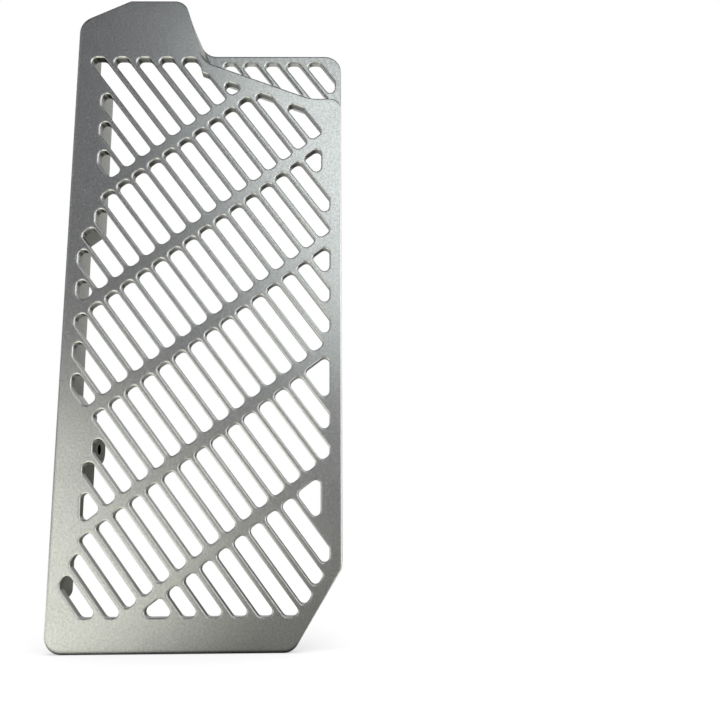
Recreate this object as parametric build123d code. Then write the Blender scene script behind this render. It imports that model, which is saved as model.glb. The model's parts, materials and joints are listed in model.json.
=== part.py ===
from build123d import *
import math
import os

# Motorcycle radiator guard, milled from one aluminium plate. Millimetres.
# It is drawn face up: x runs from the outer edge to the inner edge, y from the foot to the top,
# and z goes down into the plate. The finished piece is then stood upright with its face to -Y.

# Overall form
guard_width = 130.0
guard_height = 313.5
plate_depth = 22.0
grille_thickness = 5.0
edge_break = 0.4
cutter_radius = 2.4
wall = 5.6

# Outline of the face, with the heights near the top taken as drops from it
foot_radius = 8.0
cut_corner_run = 21.6
cut_corner_height = 35.5
cut_corner_top_radius = 3.0
cut_corner_foot_radius = 7.0
shoulder_drop = 53.0
shoulder_flat = 15.0
shoulder_radius = 5.0
slope_angle = 20.6
slope_blend = 15.0
crown_run = 24.7
crown_drop = 11.7
crown_radius = 1.5
outer_corner_radius = 9.0
neck_top_end = 52.0
neck_top_radius = 7.0
neck_lean = 16.4
neck_root_radius = 11.0
neck_flare = 3.8
neck_wall_drop = 29.0
neck_wall_inner_drop = 10.0

# Grille: rows of slots with ribs between them, crossed by webs
grille_angle = 36.9
slot_pitch = 8.95
slot_width = 6.75
row_pitch = 42.5
web_width = 4.6
corner_flat_turn = 31.0
grille_x = 53.9
grille_height = 162.7
rows_above = 2
rows_below = 3
smallest_slot_path = 0.3
smallest_side = 0.25            # sides of a slot shorter than this are left out
smallest_corner = 1.4

# Limits of the slots, besides the wall's width along the edge of the face
field_top_drop = 30.9
field_neck_margin = 0.4
field_foot_margin = 15.2
field_foot_corner = 8.1
field_low_start = 30.3
field_low_end = 45.5
field_shoulder_drop = 67.7

# Outer side wall, with two thick pads and a lug for a tapped hole
outer_wall_foot = 21.0
wall_foot_radius = 5.0
outer_pad = 12.7
low_pad_bottom = 71.0
low_pad_top = 115.3
high_pad_bottom = 190.5
high_pad_drop = 34.8
lug_width = 16.8
lug_depth = 20.0
lug_height = 12.5
lug_radius = 5.5
tapped_hole_height = 89.3
tapped_hole_depth = 10.7
tapped_hole_diameter = 5.0

# Inner side wall, with two thick pads
inner_wall_foot = 37.5
inner_pad = 9.6
inner_low_pad_bottom = 46.8
inner_low_pad_top = 83.0
inner_high_pad_drop = 102.7
inner_leg_drop = 80.0

# Slotted ledge, set back behind the sloping edge of the face
ledge_thickness = 4.0
ledge_drop = 19.9
ledge_corner_radius = 8.5
ledge_root_radius = 8.0
ledge_root_rise = 7.5
ledge_gap = 1.5
ledge_rim = 4.5
ledge_top_rim = 3.2
ledge_slot_start = 69.0
ledge_leg_overlap = 12.0

# Directions, heights and edges that follow from the sizes above
lean = math.tan(math.radians(neck_lean))
slope = math.tan(math.radians(slope_angle))
web_rise = math.tan(math.radians(grille_angle))
cut_slope = cut_corner_height / cut_corner_run
crown_slope = crown_drop / crown_run
wall_depth = plate_depth - ledge_thickness
shoulder_height = guard_height - shoulder_drop
slope_end = guard_width - shoulder_flat
field_top = guard_height - field_top_drop
high_pad_top = guard_height - high_pad_drop
inner_high_pad_bottom = guard_height - inner_high_pad_drop
inner_wall_face = guard_width - wall
inner_pad_face = guard_width - inner_pad
outer_step = outer_pad - wall
inner_step = inner_pad - wall
slot_length = row_pitch - web_width


def neck_edge_x(height):
    """Inner edge of the neck on the face, at a height."""
    return neck_top_end + (guard_height - height) * lean


def slope_height(x):
    """Height of the sloping edge of the face, at a distance from the outer edge."""
    return shoulder_height + (slope_end - x) * slope


neck_root_height = slope_height(neck_top_end + guard_height * lean) / (1 - lean * slope)
neck_root_x = neck_edge_x(neck_root_height)
neck_top_tangent = neck_top_radius * math.tan(math.radians(90 - neck_lean) / 2)
flare_top = guard_height - neck_top_tangent * math.cos(math.radians(neck_lean))
flare_bottom = guard_height - neck_wall_drop
neck_wall_end = guard_height - neck_wall_inner_drop
neck_wall_run = wall / math.cos(math.radians(neck_lean))


def flare_edge_x(height):
    """Inner edge of the neck where it meets the ledge, at a height."""
    share = (flare_top - height) / (flare_top - flare_bottom)
    return neck_edge_x(height) + neck_flare * share


def rounded_face(corners):
    """Face through (x, height, radius) corners, each one rounded by its radius."""
    points = [(x, height) for x, height, radius in corners]
    radii = [radius for x, height, radius in corners]
    return make_face(FilletPolyline(*points, radius=radii, close=True))


def slab(face, front, back):
    """Solid of a face between two depths below the front of the plate."""
    return extrude(Pos(0, 0, -front) * face, amount=back - front, dir=(0, 0, -1))


def face_outline():
    """Front outline: foot, cut corner, inner shoulder, sloping edge, neck and crown."""
    return rounded_face([
        (0, 0, foot_radius),
        (guard_width - cut_corner_run, 0, cut_corner_foot_radius),
        (guard_width, cut_corner_height, cut_corner_top_radius),
        (guard_width, shoulder_height, shoulder_radius),
        (slope_end, shoulder_height, slope_blend),
        (neck_root_x, neck_root_height, neck_root_radius),
        (neck_top_end, guard_height, neck_top_radius),
        (crown_run, guard_height, crown_radius),
        (0, guard_height - crown_drop, outer_corner_radius),
    ])


def outer_pads():
    """Inner side of the outer wall's two pads, from the upper end of the high one downwards."""
    return [
        (wall, high_pad_top),
        (outer_pad, high_pad_top - outer_step / web_rise),
        (outer_pad, high_pad_bottom + outer_step * web_rise),
        (wall, high_pad_bottom),
        (wall, low_pad_top),
        (outer_pad, low_pad_top - outer_step / web_rise),
    ]


def inner_pads():
    """Inner side of the inner wall's two pads, from the lower end of the low one upwards."""
    return [
        (inner_wall_face, inner_low_pad_bottom),
        (inner_pad_face, inner_low_pad_bottom + inner_step / web_rise),
        (inner_pad_face, inner_low_pad_top - inner_step * web_rise),
        (inner_wall_face, inner_low_pad_top),
        (inner_wall_face, inner_high_pad_bottom),
        (inner_pad_face, inner_high_pad_bottom + inner_step / web_rise),
    ]


def slot_field():
    """Area of the face that the slots stay inside: clear of its edges, the pads, the lug and the foot."""
    cut_rise = wall * math.hypot(1, cut_slope)
    slope_margin = wall / math.cos(math.radians(slope_angle))
    neck_margin = field_neck_margin / math.cos(math.radians(neck_lean))
    neck_x = neck_root_x - neck_margin
    shoulder_limit = guard_height - field_shoulder_drop
    lug_top = tapped_hole_height + lug_height / 2
    lug_bottom = tapped_hole_height - lug_height / 2
    between_walls = Polygon(
        (wall, field_foot_margin + field_foot_corner / web_rise),
        (wall + field_foot_corner, field_foot_margin),
        (guard_width - cut_corner_run + (field_foot_margin - cut_rise) / cut_slope, field_foot_margin),
        (inner_wall_face, cut_corner_height - wall * cut_slope + cut_rise),
        *inner_pads(),
        (inner_pad_face, shoulder_limit),
        (inner_pad_face - (field_top - shoulder_limit) * web_rise, field_top),
        (wall, field_top),
        *outer_pads(),
        (outer_pad, lug_top),
        (lug_width, lug_top),
        (lug_width, lug_bottom),
        (outer_pad, lug_bottom),
        (outer_pad, field_low_end),
        (wall, field_low_start),
        align=None,
    )
    under_slope = Polygon(
        (0, 0),
        (guard_width, 0),
        (guard_width, slope_height(guard_width) - slope_margin),
        (neck_x, slope_height(neck_x) - slope_margin),
        (neck_edge_x(guard_height) - neck_margin, guard_height),
        (0, guard_height),
        align=None,
    )
    return between_walls & under_slope


def slot_paths(field, rows):
    """Paths of the cutter's centre inside a field, in rows given by their middle and length along the slots.

    In a row with opened corners, a corner beside a slot that is too tight for the cutter by itself
    is opened into the slot.
    """
    path_field = offset(field, amount=-cutter_radius, kind=Kind.INTERSECTION)
    reach = math.ceil(math.hypot(guard_width, guard_height) / slot_pitch)
    columns = range(-reach, reach + 1)
    lattice = Location((grille_x, grille_height, 0), (0, 0, grille_angle))

    def common(area, column, middle, width, length):
        placed = lattice * Pos(column * slot_pitch, middle) * Rectangle(width, length)
        inside = area.intersect(placed)
        return [] if inside is None else list(inside.faces())

    def paths(column, middle, width, length):
        faces = common(path_field, column, middle, width - 2 * cutter_radius, length - 2 * cutter_radius)
        return [face for face in faces if face.area > smallest_slot_path]

    found = []
    for middle, length, opened_corners in rows:
        row = {column: paths(column, middle, slot_width, length) for column in columns}
        for column in [column for column in columns if row[column]]:
            tight_sides = [side for side in (-1, 1) if opened_corners and not row.get(column + side)]
            for side in tight_sides:
                corner = common(field, column + side, middle, slot_width, length)
                if sum(face.area for face in corner) > smallest_corner:
                    row[column] = paths(column + side / 2, middle, slot_width + slot_pitch, length)
            found += row[column]
    return found


def slot_ring(path):
    """Corner points of a path widened by the cutter's radius, with a few flats for each round corner."""
    opening = offset(path, amount=cutter_radius, kind=Kind.ARC).face()
    points = []
    for edge in opening.outer_wire().order_edges():
        turn = 0 if edge.geom_type == GeomType.LINE else math.degrees(edge.length / edge.radius)
        flats = max(1, math.ceil(turn / corner_flat_turn))
        points += [edge @ (flat / flats) for flat in range(flats)]
    spaced = zip(points[-1:] + points, points)
    return [point for before, point in spaced if (point - before).length > smallest_side]


def ring_at(ring, depth, widening):
    """A ring of corner points at a depth, with every side moved out by the widening."""
    area = sum(before.X * after.Y - before.Y * after.X for before, after in zip(ring, ring[1:] + ring[:1]))
    up = Vector(0, 0, math.copysign(1, area))
    moved = []
    for before, corner, after in zip(ring[-1:] + ring, ring, ring[1:] + ring[:1]):
        out = (corner - before).normalized().cross(up)
        next_out = (after - corner).normalized().cross(up)
        moved.append(corner + (out + next_out) * (widening / (1 + out.dot(next_out))) - Vector(0, 0, depth))
    return moved


def slot_cut(path, front, back):
    """What a slot takes out of a plate between two depths, widening to a broken edge at the front.

    It reaches past both sides of the plate.
    """
    ring = slot_ring(path)
    rings = [
        ring_at(ring, front - edge_break, 2 * edge_break),
        ring_at(ring, front + edge_break, 0),
        ring_at(ring, back + edge_break, 0),
    ]
    corners = [rings[0], rings[-1]]
    for upper, lower in zip(rings, rings[1:]):
        corners += [[upper[i - 1], upper[i], lower[i], lower[i - 1]] for i in range(len(ring))]
    return Solid(Shell([Face(Wire.make_polygon(points)) for points in corners]))


def outer_walls(outline):
    """Deep walls round the outer edge, the crown and the neck, left standing by a pocket behind the face."""
    beyond = guard_width
    roof = guard_height - wall
    crown_margin = wall * math.hypot(1, crown_slope)
    crown_limit = guard_height - crown_drop - crown_margin
    pocket = rounded_face([
        (-beyond, -beyond, 0),
        (2 * beyond, -beyond, 0),
        (2 * beyond, flare_bottom, 0),
        (neck_edge_x(flare_bottom), flare_bottom, 0),
        (neck_edge_x(neck_wall_end) - neck_wall_run, neck_wall_end, 0),
        (neck_edge_x(roof) - neck_wall_run, roof, cutter_radius),
        ((roof - crown_limit) / crown_slope, roof, cutter_radius),
        (wall, crown_limit + wall * crown_slope, cutter_radius),
        *[(x, height, 0) for x, height in outer_pads()],
        (outer_pad, low_pad_bottom, 0),
        (wall, low_pad_bottom, cutter_radius),
        (wall, outer_wall_foot, wall_foot_radius),
        (-beyond, outer_wall_foot, 0),
    ])
    return slab(outline - pocket, grille_thickness, wall_depth)


def neck_side():
    """Inner side of the neck: it leans outwards from the edge of the face to the ledge."""
    inner_top = (neck_edge_x(flare_top) - neck_wall_run, flare_top)
    inner_bottom = (neck_edge_x(neck_wall_end) - neck_wall_run, neck_wall_end)
    top = (neck_edge_x(flare_top), flare_top)
    at_face = Polygon(inner_top, inner_bottom, (neck_edge_x(flare_bottom), flare_bottom), top, align=None)
    at_ledge = Polygon(inner_top, inner_bottom, (flare_edge_x(flare_bottom), flare_bottom), top, align=None)
    return loft([Pos(0, 0, -edge_break) * at_face, Pos(0, 0, -wall_depth) * at_ledge], ruled=True)


def inner_side_wall(outline):
    """Wall along the inner edge, as deep as the plate, with a pad and a thicker leg under the ledge."""
    leg_bottom = guard_height - inner_leg_drop
    strip = Polygon(
        (guard_width, inner_wall_foot),
        (inner_wall_face, inner_wall_foot),
        *inner_pads()[:-2],
        (inner_wall_face, leg_bottom),
        (inner_pad_face, leg_bottom + inner_step / web_rise),
        (inner_pad_face, shoulder_height),
        (guard_width, shoulder_height),
        align=None,
    )
    return slab(outline & strip, grille_thickness, plate_depth)


def ledge():
    """Slotted ledge behind the sloping edge, from the neck to the top of the inner wall."""
    ledge_height = guard_height - ledge_drop
    root_height = ledge_height + ledge_root_rise
    foot_height = shoulder_height + ledge_gap
    ledge_start = neck_root_x + wall
    outline = rounded_face([
        (flare_edge_x(flare_bottom), flare_bottom, 0),
        (ledge_start, slope_height(ledge_start) + ledge_gap, 0),
        (slope_end, foot_height, 0),
        (inner_pad_face, foot_height, cutter_radius),
        (inner_pad_face, shoulder_height - ledge_leg_overlap, 0),
        (guard_width, shoulder_height - ledge_leg_overlap, 0),
        (guard_width, ledge_height, ledge_corner_radius),
        (flare_edge_x(ledge_height), ledge_height, ledge_root_radius),
        (flare_edge_x(root_height), root_height, 0),
        (neck_edge_x(root_height) - neck_wall_run / 2, root_height, 0),
    ])
    rim_height = foot_height + ledge_rim
    window = Polygon(
        (ledge_slot_start, slope_height(ledge_slot_start) + ledge_gap + ledge_rim),
        (slope_end, rim_height),
        (guard_width - ledge_top_rim, rim_height),
        (guard_width - ledge_top_rim, ledge_height - ledge_top_rim),
        (ledge_slot_start, ledge_height - ledge_top_rim),
        align=None,
    )
    paths = slot_paths(window, [(0, 2 * guard_height, False)])
    return slab(outline, wall_depth, plate_depth) - [slot_cut(path, wall_depth, plate_depth) for path in paths]


def lug():
    """Rounded lug that carries the tapped hole through the outer wall."""
    bottom = tapped_hole_height - lug_height / 2
    top = tapped_hole_height + lug_height / 2
    profile = rounded_face([
        (grille_thickness, bottom, 0),
        (lug_depth, bottom, lug_radius),
        (lug_depth, top, lug_radius),
        (grille_thickness, top, 0),
    ])
    return extrude(Rot(0, 90, 0) * profile, amount=lug_width, dir=(1, 0, 0))


def radiator_guard():
    """The whole milled piece, standing on its foot with its face to -Y."""
    outline = face_outline()
    rows = [(row * row_pitch, slot_length, True) for row in range(1 - rows_below, rows_above)]
    rows.append(((rows_above + 0.5) * row_pitch, slot_length + row_pitch, False))
    rows.append(((-rows_below - 0.5) * row_pitch, slot_length + row_pitch, True))
    plate = slab(outline, 0, grille_thickness)
    plate = chamfer(plate.faces().sort_by(Axis.Z)[-1].edges(), edge_break)
    grille = plate - [slot_cut(path, 0, grille_thickness) for path in slot_paths(slot_field(), rows)]
    tapped_hole = Cylinder(tapped_hole_diameter / 2, lug_width, align=(Align.CENTER, Align.CENTER, Align.MIN))
    tapped_hole = Pos(0, tapped_hole_height, -tapped_hole_depth) * Rot(0, 90, 0) * tapped_hole
    tapped_walls = outer_walls(outline) + lug() - tapped_hole
    body = grille + [tapped_walls, neck_side(), inner_side_wall(outline), ledge()]
    return Pos(-guard_width / 2, -plate_depth / 2, 0) * Rot(90, 0, 0) * body


guard = radiator_guard()
os.makedirs("parts", exist_ok=True)
export_step(guard, "parts/radiator_guard.step")
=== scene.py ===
import json
import math

import bpy
import numpy as np
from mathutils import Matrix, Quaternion, Vector


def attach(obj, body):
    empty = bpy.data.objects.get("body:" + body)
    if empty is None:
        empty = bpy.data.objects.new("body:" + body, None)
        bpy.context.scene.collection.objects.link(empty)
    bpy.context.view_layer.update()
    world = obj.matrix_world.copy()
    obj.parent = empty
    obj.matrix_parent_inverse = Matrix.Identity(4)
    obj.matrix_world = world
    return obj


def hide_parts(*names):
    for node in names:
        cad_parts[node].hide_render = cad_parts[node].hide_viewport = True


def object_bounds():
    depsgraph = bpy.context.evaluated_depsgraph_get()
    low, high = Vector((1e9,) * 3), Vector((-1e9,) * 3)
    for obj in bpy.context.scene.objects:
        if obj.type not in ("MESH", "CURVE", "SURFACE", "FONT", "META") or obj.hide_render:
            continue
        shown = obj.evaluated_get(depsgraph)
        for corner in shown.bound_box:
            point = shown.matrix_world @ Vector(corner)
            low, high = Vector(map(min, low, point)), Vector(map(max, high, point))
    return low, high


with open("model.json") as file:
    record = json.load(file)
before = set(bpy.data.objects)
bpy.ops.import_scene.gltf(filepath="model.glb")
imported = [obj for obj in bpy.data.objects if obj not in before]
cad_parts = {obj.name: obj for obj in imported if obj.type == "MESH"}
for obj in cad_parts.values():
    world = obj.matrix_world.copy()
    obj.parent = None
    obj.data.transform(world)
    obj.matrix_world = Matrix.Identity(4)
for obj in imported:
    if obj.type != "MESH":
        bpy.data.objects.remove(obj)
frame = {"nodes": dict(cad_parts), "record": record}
cad_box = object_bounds()
scene = bpy.context.scene

# The guard is one piece of aluminium plate, milled from the back to leave its walls, ledge and lug,
# with the slots of the grille cut right through and every front edge broken.
# It is then tumbled with stones, which leaves an even satin grey.
MM = 0.001
WELD = 0.002 * MM       # corners that share a place to within this become one
SHARP_EDGE = 33.0       # degrees between faces, above the turns inside a slot's rounded corner


def linear(hex_colour):
    """An sRGB hex colour as linear RGBA: each channel through the sRGB curve's inverse."""
    channels = np.array([int(hex_colour[place:place + 2], 16) / 255 for place in (1, 3, 5)])
    curve = np.where(channels <= 0.04045, channels / 12.92, ((channels + 0.055) / 1.055) ** 2.4)
    return (*curve.tolist(), 1.0)


def add_node(tree, kind, links=None, values=None, **settings):
    """Adds a node with its settings, its fixed input values, and links into it from other sockets."""
    made = tree.nodes.new(kind)
    for name, value in settings.items():
        setattr(made, name, value)
    for name, value in (values or {}).items():
        made.inputs[name].default_value = value
    for name, socket in (links or {}).items():
        tree.links.new(socket, made.inputs[name])
    return made


def merged_copy(node, name):
    """A node's triangles as one joined skin: corners that share a place become one vertex."""
    source = node.data
    places = np.empty(3 * len(source.vertices))
    source.vertices.foreach_get("co", places)
    corners = np.empty(len(source.loops), dtype=int)
    source.loops.foreach_get("vertex_index", corners)
    unique, joined = np.unique(np.round(places.reshape(-1, 3) / WELD), axis=0, return_inverse=True)
    triangles = joined.reshape(-1)[corners].reshape(-1, 3)
    whole = (triangles != np.roll(triangles, 1, axis=1)).all(axis=1)
    mesh = bpy.data.meshes.new(name)
    mesh.from_pydata((unique * WELD).tolist(), [], triangles[whole].tolist())
    mesh.shade_smooth()
    mesh.set_sharp_from_angle(angle=math.radians(SHARP_EDGE))
    return mesh


def tumbled_aluminium():
    """Plate aluminium after a stone tumble: a satin grey metal, peened all over by tiny dents.

    The stones leave blotches, bright specks and short scratches, and the broken edges are painted brighter, a
    painted highlight.
    The walls of the slots and the pocket are painted darker where facing walls close them in, lighter at the
    slots' mouths: a painted shade.
    The ledge keeps the broad stripes of the cutter's passes, and the lug's hole is threaded and painted dark,
    a painted shade.
    """
    dent, dent_depth = 1.1, 0.06            # mm, drawn coarser than life so that the dents show
    speck = 0.9                             # mm, the width of the fresh bright specks
    dull_patch = 1.2                        # mm, the width of the dull spots, as coarse as the dents
    cloud = 14.0                            # mm, how wide the tumble's paler and darker patches are
    scratch_width, scratch_length = 0.5, 7.0        # mm
    scratch_slant = math.radians(-35)
    cutter_line = 1.3                       # mm, between two lines that the cutter leaves on a wall
    cutter_pass = 3.4                       # mm, between two passes of the cutter over the ledge
    pass_slant = math.radians(14)
    wave_span = 0.314                       # metres between the lines of a wave texture of scale 1
    wall_to_face = (0.35, 0.65)             # how squarely to the front or back a wall and the face look
    face_to_edge = (0.88, 0.78)             # the same for the face and a broken edge
    slot_to_pocket = (-6.3, -5.7)           # mm, the depth where a slot opens into the pocket behind
    ledge_face = (6.0, 6.5)                 # mm, the depth where the ledge's stripes set in
    ledge_start = (0.0, 6.4)                # mm, the x and y past which the ledge is left without the painted shade
    shade_reach = 40.0                      # mm, how close a facing wall must be for the painted shade
    shade_depth = (0.3, 2.2)                # mm into a slot, over which the painted shade sets in
    worn_edge, worn_outline = 1.0, 2.2      # mm, the rounding of the slots' rims and of the outline
    outline_band = 4.5                      # mm, how far in from the outer side and the foot that goes
    thread_pitch, thread_depth = 1.0, 0.5   # mm, of the M6 thread in the lug's hole
    hole_margin = 0.2                       # mm round the hole, so that all of its wall counts as inside
    hole = frame["record"]["mounts"][0]
    hole_axis = (0, *hole["pos_m"][1:])
    hole_radius = hole["dims"]["r_mm"] * MM
    hole_end = hole["pos_m"][0] + hole["dims"]["length_mm"] / 2 * MM
    front = cad_box[0].y

    material = bpy.data.materials.new("tumbled_aluminium")
    material.use_nodes = True
    tree = material.node_tree
    tree.nodes.clear()
    place = add_node(tree, "ShaderNodeTexCoord").outputs["Object"]
    at = add_node(tree, "ShaderNodeSeparateXYZ", {"Vector": place})

    # What the stones and the cutter leave on the metal
    dents = add_node(tree, "ShaderNodeTexNoise", {"Vector": place},
                     {"Scale": 1 / (dent * MM), "Detail": 3.0, "Roughness": 0.62})
    specks = add_node(tree, "ShaderNodeTexNoise", {"Vector": place},
                      {"Scale": 1 / (speck * MM), "Detail": 1.0, "Roughness": 0.5})
    patches = add_node(tree, "ShaderNodeTexNoise", {"Vector": place},
                       {"Scale": 1 / (dull_patch * MM), "Detail": 2.0, "Roughness": 0.5})
    clouds = add_node(tree, "ShaderNodeTexNoise", {"Vector": place},
                      {"Scale": 1 / (cloud * MM), "Detail": 4.0, "Roughness": 0.55})
    across, along = 1 / (scratch_width * MM), 1 / (scratch_length * MM)
    scratch_space = add_node(tree, "ShaderNodeMapping", {"Vector": place},
                             {"Rotation": (0, scratch_slant, 0), "Scale": (across, across, along)})
    scratches = add_node(tree, "ShaderNodeTexNoise", {"Vector": scratch_space.outputs[0]},
                         {"Scale": 1.0, "Detail": 1.0, "Distortion": 0.3})
    lines = add_node(tree, "ShaderNodeTexWave", {"Vector": place},
                     {"Scale": wave_span / (cutter_line * MM), "Distortion": 1.5, "Detail": 2.0,
                      "Detail Scale": 2.0}, bands_direction="Z")
    pass_space = add_node(tree, "ShaderNodeMapping", {"Vector": place}, {"Rotation": (0, pass_slant, 0)})
    passes = add_node(tree, "ShaderNodeTexWave", {"Vector": pass_space.outputs[0]},
                      {"Scale": wave_span / (cutter_pass * MM), "Distortion": 1.2, "Detail": 2.0,
                       "Detail Scale": 0.4}, bands_direction="X", wave_profile="SAW")

    # Which kind of surface it is: face, broken edge or wall, and how closed in it is, for the painted shade
    normal = add_node(tree, "ShaderNodeNewGeometry").outputs["True Normal"]
    looks = add_node(tree, "ShaderNodeSeparateXYZ", {"Vector": normal})
    facing = add_node(tree, "ShaderNodeMath", {0: looks.outputs["Y"]}, operation="ABSOLUTE")
    flat = add_node(tree, "ShaderNodeMapRange", {"Value": facing.outputs[0]},
                    {"From Min": wall_to_face[0], "From Max": wall_to_face[1]},
                    interpolation_type="SMOOTHSTEP")
    steep = add_node(tree, "ShaderNodeMapRange", {"Value": facing.outputs[0]},
                     {"From Min": face_to_edge[0], "From Max": face_to_edge[1],
                      "To Min": 0.0, "To Max": 0.75})
    broken_edge = add_node(tree, "ShaderNodeMath", {0: steep.outputs[0], 1: flat.outputs[0]},
                           operation="MULTIPLY")
    pocket = add_node(tree, "ShaderNodeMapRange", {"Value": at.outputs["Y"]},
                      {"From Min": slot_to_pocket[0] * MM, "From Max": slot_to_pocket[1] * MM})
    # Painted shade: walls closed in by other walls are painted darker, deeper than the slots' mouths, but not
    # on the ledge.
    mouth = add_node(tree, "ShaderNodeMapRange", {"Value": at.outputs["Y"]},
                     {"From Min": front + shade_depth[0] * MM, "From Max": front + shade_depth[1] * MM},
                     interpolation_type="SMOOTHSTEP")
    openness = add_node(tree, "ShaderNodeAmbientOcclusion", values={"Distance": shade_reach * MM},
                        samples=8, only_local=True)
    shade_free = add_node(tree, "ShaderNodeMapRange", {"Value": openness.outputs["AO"]},
                       {"From Min": 0.80, "From Max": 0.98}, interpolation_type="SMOOTHSTEP")
    inward = add_node(tree, "ShaderNodeMath", {0: at.outputs["X"]}, {1: ledge_start[0] * MM},
                      operation="GREATER_THAN")
    behind = add_node(tree, "ShaderNodeMath", {0: at.outputs["Y"]}, {1: ledge_start[1] * MM},
                      operation="GREATER_THAN")
    on_ledge = add_node(tree, "ShaderNodeMath", {0: inward.outputs[0], 1: behind.outputs[0]},
                        operation="MULTIPLY")
    unshaded = add_node(tree, "ShaderNodeMath", {0: shade_free.outputs[0], 1: on_ledge.outputs[0]},
                       operation="MAXIMUM")
    from_hole = add_node(tree, "ShaderNodeVectorMath", {0: place}, {1: hole_axis}, operation="SUBTRACT")
    across_hole = add_node(tree, "ShaderNodeVectorMath", {0: from_hole.outputs[0]}, {1: (0, 1, 1)},
                           operation="MULTIPLY")
    from_axis = add_node(tree, "ShaderNodeVectorMath", {0: across_hole.outputs[0]}, operation="LENGTH")
    by_axis = add_node(tree, "ShaderNodeMath", {0: from_axis.outputs["Value"]},
                       {1: hole_radius + hole_margin * MM}, operation="LESS_THAN")
    in_lug = add_node(tree, "ShaderNodeMath", {0: at.outputs["X"]}, {1: hole_end + hole_margin * MM},
                      operation="LESS_THAN")
    in_hole = add_node(tree, "ShaderNodeMath", {0: by_axis.outputs[0], 1: in_lug.outputs[0]},
                       operation="MULTIPLY")

    # The face's colour, with its blotches, marks and stripes, and the broken edges painted brighter, a
    # painted highlight
    speckle = add_node(tree, "ShaderNodeMapRange", {"Value": dents.outputs["Fac"]},
                       {"From Min": 0.36, "From Max": 0.64, "To Min": 0.0, "To Max": 0.6})
    mottle = add_node(tree, "ShaderNodeMapRange", {"Value": clouds.outputs["Fac"]},
                      {"From Min": 0.3, "From Max": 0.7, "To Min": 0.0, "To Max": 0.20})
    bright = add_node(tree, "ShaderNodeMapRange", {"Value": specks.outputs["Fac"]},
                      {"From Min": 0.62, "From Max": 0.74, "To Min": 0.0, "To Max": 0.30})
    scored = add_node(tree, "ShaderNodeMapRange", {"Value": scratches.outputs["Fac"]},
                      {"From Min": 0.60, "From Max": 0.72, "To Min": 0.0, "To Max": 0.20})
    set_back = add_node(tree, "ShaderNodeMapRange", {"Value": at.outputs["Y"]},
                        {"From Min": ledge_face[0] * MM, "From Max": ledge_face[1] * MM,
                         "To Min": 0.0, "To Max": 0.45})
    striped = add_node(tree, "ShaderNodeMath", {0: passes.outputs["Fac"], 1: set_back.outputs[0]},
                       operation="MULTIPLY")
    tone = add_node(tree, "ShaderNodeMath", {0: speckle.outputs[0], 1: mottle.outputs[0]}, operation="ADD")
    marks = add_node(tree, "ShaderNodeMath", {0: bright.outputs[0], 1: scored.outputs[0]}, operation="ADD")
    marked = add_node(tree, "ShaderNodeMath", {0: tone.outputs[0], 1: marks.outputs[0]}, operation="ADD")
    tumbled_colour = add_node(tree, "ShaderNodeMix", {"Factor": marked.outputs[0]},
                              {"A": linear("#b2b3b3"), "B": linear("#d3d4d4")}, data_type="RGBA")
    face_colour = add_node(tree, "ShaderNodeMix",
                           {"Factor": striped.outputs[0], "A": tumbled_colour.outputs["Result"]},
                           {"B": linear("#989a9b")}, data_type="RGBA")
    # Painted highlight: the broken edges are mixed towards near-white.
    edge_highlight_colour = add_node(tree, "ShaderNodeMix",
                           {"Factor": broken_edge.outputs[0], "A": face_colour.outputs["Result"]},
                           {"B": linear("#f6f6f4")}, data_type="RGBA")

    # The walls' colour: light outside and on the ledge, and a painted shade, dark in the slots and the pocket
    wall_tone = add_node(tree, "ShaderNodeMath", {0: tone.outputs[0], 1: lines.outputs["Fac"]},
                         operation="MULTIPLY")
    side_colour = add_node(tree, "ShaderNodeMix", {"Factor": wall_tone.outputs[0]},
                           {"A": linear("#a3a49f"), "B": linear("#bcbdb8")}, data_type="RGBA")
    slot_shade_colour = add_node(tree, "ShaderNodeMix", {"Factor": mouth.outputs[0]},
                           {"A": linear("#a3a49f"), "B": linear("#54544d")}, data_type="RGBA")
    inner_shade_colour = add_node(tree, "ShaderNodeMix",
                            {"Factor": pocket.outputs[0], "A": slot_shade_colour.outputs["Result"]},
                            {"B": linear("#6c6c65")}, data_type="RGBA")
    wall_colour = add_node(tree, "ShaderNodeMix",
                           {"Factor": unshaded.outputs[0], "A": inner_shade_colour.outputs["Result"],
                            "B": side_colour.outputs["Result"]}, data_type="RGBA")
    plain_colour = add_node(tree, "ShaderNodeMix",
                            {"Factor": flat.outputs[0], "A": wall_colour.outputs["Result"],
                             "B": edge_highlight_colour.outputs["Result"]}, data_type="RGBA")
    # Painted shade: the inside of the lug's hole is painted near-black.
    colour = add_node(tree, "ShaderNodeMix",
                      {"Factor": in_hole.outputs[0], "A": plain_colour.outputs["Result"]},
                      {"B": linear("#2f2f2c")}, data_type="RGBA")

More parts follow.
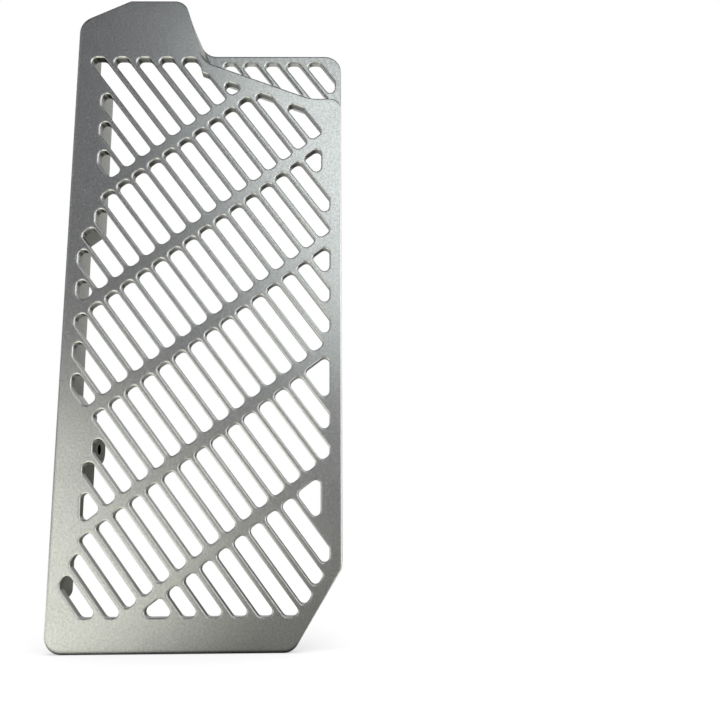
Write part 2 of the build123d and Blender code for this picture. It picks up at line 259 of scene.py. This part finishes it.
    # Gloss and relief: dull spots, rounded edges, the thread and the dents
    gloss = add_node(tree, "ShaderNodeMapRange", {"Value": patches.outputs["Fac"]},
                     {"From Min": 0.44, "From Max": 0.76, "To Min": 0.295, "To Max": 0.40})
    by_side = add_node(tree, "ShaderNodeMath", {0: at.outputs["X"]}, {1: cad_box[0].x + outline_band * MM},
                       operation="LESS_THAN")
    by_foot = add_node(tree, "ShaderNodeMath", {0: at.outputs["Z"]}, {1: cad_box[0].z + outline_band * MM},
                       operation="LESS_THAN")
    on_outline = add_node(tree, "ShaderNodeMath", {0: by_side.outputs[0], 1: by_foot.outputs[0]},
                          operation="MAXIMUM")
    rounding = add_node(tree, "ShaderNodeMapRange", {"Value": on_outline.outputs[0]},
                        {"To Min": worn_edge * MM, "To Max": worn_outline * MM})
    worn = add_node(tree, "ShaderNodeBevel", {"Radius": rounding.outputs[0]}, samples=6)
    turns = add_node(tree, "ShaderNodeTexWave", {"Vector": place},
                     {"Scale": wave_span / (thread_pitch * MM)}, bands_direction="X", wave_profile="TRI")
    thread = add_node(tree, "ShaderNodeMath", {0: turns.outputs["Fac"], 1: in_hole.outputs[0]},
                      operation="MULTIPLY")
    threaded = add_node(tree, "ShaderNodeBump",
                        {"Height": thread.outputs[0], "Normal": worn.outputs["Normal"]},
                        {"Strength": 1.0, "Distance": thread_depth * MM})
    bump = add_node(tree, "ShaderNodeBump",
                    {"Height": dents.outputs["Fac"], "Normal": threaded.outputs["Normal"]},
                    {"Strength": 0.6, "Distance": dent_depth * MM})
    skin = add_node(tree, "ShaderNodeBsdfPrincipled",
                    {"Base Color": colour.outputs["Result"], "Roughness": gloss.outputs[0],
                     "Normal": bump.outputs["Normal"]}, {"Metallic": 1.0})
    add_node(tree, "ShaderNodeOutputMaterial", {"Surface": skin.outputs["BSDF"]})
    return material


plate = bpy.data.objects.new("guard_plate", merged_copy(frame["nodes"]["radiator_guard"], "guard_plate"))
scene.collection.objects.link(plate)
plate.data.materials.append(tumbled_aluminium())
even_shading = plate.modifiers.new("even_shading", "WEIGHTED_NORMAL")
even_shading.keep_sharp = True
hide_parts("radiator_guard")
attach(plate, "root")

# The floor is a white studio table that runs out into a white room.
# It keeps the soft shadow at the guard's foot.
TABLE_REACH = 4.0               # metres, far past what any view shows
TABLE_DROP = 0.1 * MM           # below the guard's foot, so that the two don't lie in each other
SHADOW_REACH = (0.10, 0.45)     # metres from the guard, over which the shadow's zone fades to plain white


def seen_white(tree):
    """1 for a ray from the camera, or one that a metal or a glass sends on, and 0 for any other."""
    ray = add_node(tree, "ShaderNodeLightPath").outputs
    mirrored = add_node(tree, "ShaderNodeMath", {0: ray["Is Camera Ray"], 1: ray["Is Glossy Ray"]},
                        operation="MAXIMUM")
    return add_node(tree, "ShaderNodeMath", {0: mirrored.outputs[0], 1: ray["Is Transmission Ray"]},
                    operation="MAXIMUM").outputs[0]


def white_table():
    """White laminate, lit by the lamps near the guard and plain white further out."""
    material = bpy.data.materials.new("white_table")
    material.use_nodes = True
    tree = material.node_tree
    tree.nodes.clear()
    place = add_node(tree, "ShaderNodeTexCoord").outputs["Object"]
    away = add_node(tree, "ShaderNodeVectorMath", {0: place}, operation="LENGTH")
    fade = add_node(tree, "ShaderNodeMapRange", {"Value": away.outputs["Value"]},
                    {"From Min": SHADOW_REACH[0], "From Max": SHADOW_REACH[1], "To Min": 0.5, "To Max": 1.0},
                    interpolation_type="SMOOTHSTEP")
    share = add_node(tree, "ShaderNodeMath", {0: fade.outputs[0], 1: seen_white(tree)}, operation="MULTIPLY")
    laminate = add_node(tree, "ShaderNodeBsdfDiffuse", values={"Color": linear("#f2f2f2")})
    glow = add_node(tree, "ShaderNodeEmission", values={"Strength": 1.0})
    mixed = add_node(tree, "ShaderNodeMixShader",
                     {0: share.outputs[0], 1: laminate.outputs[0], 2: glow.outputs[0]})
    add_node(tree, "ShaderNodeOutputMaterial", {"Surface": mixed.outputs[0]})
    return material


def panel(name, corners, height, material):
    """A flat four-cornered sheet at one height, through corners that are given by x and y."""
    mesh = bpy.data.meshes.new(name)
    mesh.from_pydata([(*corner, height) for corner in corners], [], [(0, 1, 2, 3)])
    mesh.materials.append(material)
    sheet = bpy.data.objects.new(name, mesh)
    scene.collection.objects.link(sheet)
    return sheet


table_top = cad_box[0].z - TABLE_DROP
panel("studio_floor", [(-TABLE_REACH, -TABLE_REACH), (TABLE_REACH, -TABLE_REACH),
                       (TABLE_REACH, TABLE_REACH), (-TABLE_REACH, TABLE_REACH)], table_top, white_table())

# The room is white where it is seen, and gives a soft even light. Grey cloth hangs where the metal is to look
# dark: behind the camera, beside the outer wall, low behind the guard and overhead. A mat in front goes from
# white to grey, and a grey one lies behind. The metal shows the cloth and the mats, and nothing else does.
CLOTH_REACH = 1.2               # metres from the guard's foot
MAT_RISE = 0.05 * MM            # of a mat above the table
MAT_UNDER = 5.0 * MM            # how far the front mat goes under the guard
FRONT_MAT_RIGHT = (0.35, 0.09)  # metres, the x of the front mat's right border, far out and at the guard
BACK_MAT_LEFT = (-0.14, 0.42)   # metres, the x of the back mat's left border, at the guard and far out

room = bpy.data.worlds.new("white_room")
scene.world = room
room.use_nodes = True
room.node_tree.nodes.clear()
soft = add_node(room.node_tree, "ShaderNodeBackground", values={"Color": linear("#ffffff"), "Strength": 0.7})
white = add_node(room.node_tree, "ShaderNodeBackground", values={"Color": linear("#ffffff"), "Strength": 1.0})
walls = add_node(room.node_tree, "ShaderNodeMixShader",
                 {0: seen_white(room.node_tree), 1: soft.outputs[0], 2: white.outputs[0]})
add_node(room.node_tree, "ShaderNodeOutputWorld", {"Surface": walls.outputs[0]})


def grey_cloth(name, colour):
    """Cloth of one even grey, whatever light falls on it."""
    material = bpy.data.materials.new(name)
    material.use_nodes = True
    tree = material.node_tree
    tree.nodes.clear()
    cloth = add_node(tree, "ShaderNodeEmission", values={"Color": linear(colour), "Strength": 1.0})
    add_node(tree, "ShaderNodeOutputMaterial", {"Surface": cloth.outputs[0]})
    return material


def hung_cloth(name, turns, rises, colour, columns=24, rows=12):
    """Part of a sphere round the guard: x and y from the turn about it, z from the sine of the rise.

    A turn of 0 is straight in front of the guard, and turns and rises are in degrees.
    """
    turn, rise = np.meshgrid(np.radians(np.linspace(*turns, columns)), np.radians(np.linspace(*rises, rows)))
    ways = np.stack([np.sin(turn) * np.cos(rise), -np.cos(turn) * np.cos(rise), np.sin(rise)], -1)
    first = (np.arange(rows - 1)[:, None] * columns + np.arange(columns - 1)).reshape(-1)
    quads = np.stack([first, first + 1, first + columns + 1, first + columns], -1)
    mesh = bpy.data.meshes.new(name)
    mesh.from_pydata((CLOTH_REACH * ways).reshape(-1, 3).tolist(), [], quads.tolist())
    mesh.materials.append(grey_cloth(name, colour))
    cloth = bpy.data.objects.new(name, mesh)
    scene.collection.objects.link(cloth)
    return cloth


def shaded_mat():
    """A glowing mat that is white in its middle, goes to grey on the right, fades out on the left and has a
    painted
    shadow under the guard: the product of one slope for each of them.
    """
    to_grey = (-0.09, 0.03)         # metres, the x over which the mat goes from lit white to grey
    from_left = (-0.40, -0.27)      # metres, the x over which it comes up from dark on the left
    to_shade = (5.0, 2.0)           # mm in front of the guard, over which the painted shadow sets in
    front = cad_box[0].y
    material = bpy.data.materials.new("shaded_mat")
    material.use_nodes = True
    tree = material.node_tree
    tree.nodes.clear()
    place = add_node(tree, "ShaderNodeTexCoord").outputs["Object"]
    at = add_node(tree, "ShaderNodeSeparateXYZ", {"Vector": place})
    right = add_node(tree, "ShaderNodeMapRange", {"Value": at.outputs["X"]},
                     {"From Min": to_grey[0], "From Max": to_grey[1], "To Min": 1.45, "To Max": 0.25},
                     interpolation_type="SMOOTHSTEP")
    left = add_node(tree, "ShaderNodeMapRange", {"Value": at.outputs["X"]},
                    {"From Min": from_left[0], "From Max": from_left[1], "To Min": 0.1, "To Max": 1.0})
    painted_shadow = add_node(tree, "ShaderNodeMapRange", {"Value": at.outputs["Y"]},
                     {"From Min": front - to_shade[0] * MM, "From Max": front - to_shade[1] * MM,
                      "To Min": 1.0, "To Max": 0.03})
    lit = add_node(tree, "ShaderNodeMath", {0: right.outputs[0], 1: left.outputs[0]}, operation="MULTIPLY")
    light = add_node(tree, "ShaderNodeMath", {0: lit.outputs[0], 1: painted_shadow.outputs[0]}, operation="MULTIPLY")
    cloth = add_node(tree, "ShaderNodeEmission", {"Strength": light.outputs[0]}, {"Color": linear("#fffff2")})
    add_node(tree, "ShaderNodeOutputMaterial", {"Surface": cloth.outputs[0]})
    return material


mat_top = table_top + MAT_RISE
mat_back = cad_box[0].y + MAT_UNDER
guard_back = cad_box[1].y
cloths = [
    panel("front_mat", [(-CLOTH_REACH, -CLOTH_REACH), (FRONT_MAT_RIGHT[0], -CLOTH_REACH),
                        (FRONT_MAT_RIGHT[1], mat_back), (-CLOTH_REACH, mat_back)], mat_top, shaded_mat()),
    panel("back_mat", [(BACK_MAT_LEFT[0], guard_back), (CLOTH_REACH, guard_back),
                       (CLOTH_REACH, CLOTH_REACH), (BACK_MAT_LEFT[1], CLOTH_REACH)], mat_top,
          grey_cloth("back_mat", "#92938c")),
    hung_cloth("front_curtain", turns=(-62, 56), rises=(0, 50), colour="#7a797c"),
    hung_cloth("left_curtain", turns=(-150, -78), rises=(0, 50), colour="#505256"),
    hung_cloth("back_curtain", turns=(120, 178), rises=(0, 14), colour="#84857e"),
    hung_cloth("canopy", turns=(0, 360), rises=(50, 90), colour="#4a4c52", columns=48),
]
for cloth in cloths:
    cloth.visible_camera = False
    cloth.visible_diffuse = False
    cloth.visible_shadow = False


# Soft boxes light the guard: a large one from the upper right, a lower one from the left, one overhead
# for the table, which the metal doesn't show, and a strip far out on the right for the rims of the slots.
def softbox(name, place, aim, size, power, tint, lean=0.0):
    """A rectangular lamp at a place, turned to shine at a point and leaned to its left by an angle.

    Places and sizes are in metres, and the power is in watts.
    """
    lamp = bpy.data.lights.new(name, "AREA")
    lamp.shape = "RECTANGLE"
    lamp.size, lamp.size_y = size
    lamp.energy = power
    lamp.color = linear(tint)[:3]
    box = bpy.data.objects.new(name, lamp)
    box.location = place
    box.rotation_mode = "QUATERNION"
    shining = (Vector(aim) - Vector(place)).to_track_quat("-Z", "Y")
    box.rotation_quaternion = shining @ Quaternion((0, 0, 1), lean)
    scene.collection.objects.link(box)
    return box


softbox("right_softbox", place=(0.218, -0.50, 0.482), aim=(0.218, 0.0, 0.352), size=(0.53, 0.41), power=1.02,
        tint="#f8fffc", lean=math.radians(21))
softbox("left_softbox", place=(-0.385, -0.50, 0.09), aim=(-0.185, 0.0, 0.068), size=(0.36, 0.17), power=0.25,
        tint="#fffff2")
softbox("edge_strip", place=(1.0, -0.28, 0.22), aim=(0.0, 0.0, 0.15), size=(0.3, 0.6), power=1.6,
        tint="#ffffff")
overhead = softbox("overhead_softbox", place=(0.0, -0.2, 1.3), aim=(0.0, -0.2, 0.0), size=(1.4, 1.0),
                   power=12.0, tint="#ffffff")
overhead.visible_glossy = False

# The camera stands low and close in front of the guard's right half, as in the photograph,
# and looks up a little, so that the guard fills the left half of the picture.
CAMERA_PLACE = (0.0683, -0.3733, 0.0648)    # metres
CAMERA_AIM = (0.0736, -0.011, 0.1294)       # metres
CAMERA_ROLL = -0.0073                       # radians
eye = bpy.data.cameras.new("camera")
eye.sensor_width = 36.0
eye.lens = 39.63
eye.clip_start = 0.01
camera = bpy.data.objects.new("camera", eye)
camera.location = CAMERA_PLACE
looking = Vector(CAMERA_AIM) - Vector(CAMERA_PLACE)
camera.rotation_mode = "QUATERNION"
camera.rotation_quaternion = looking.to_track_quat("-Z", "Y") @ Quaternion((0, 0, 1), CAMERA_ROLL)
scene.collection.objects.link(camera)
scene.camera = camera
scene.view_settings.view_transform = "Standard"
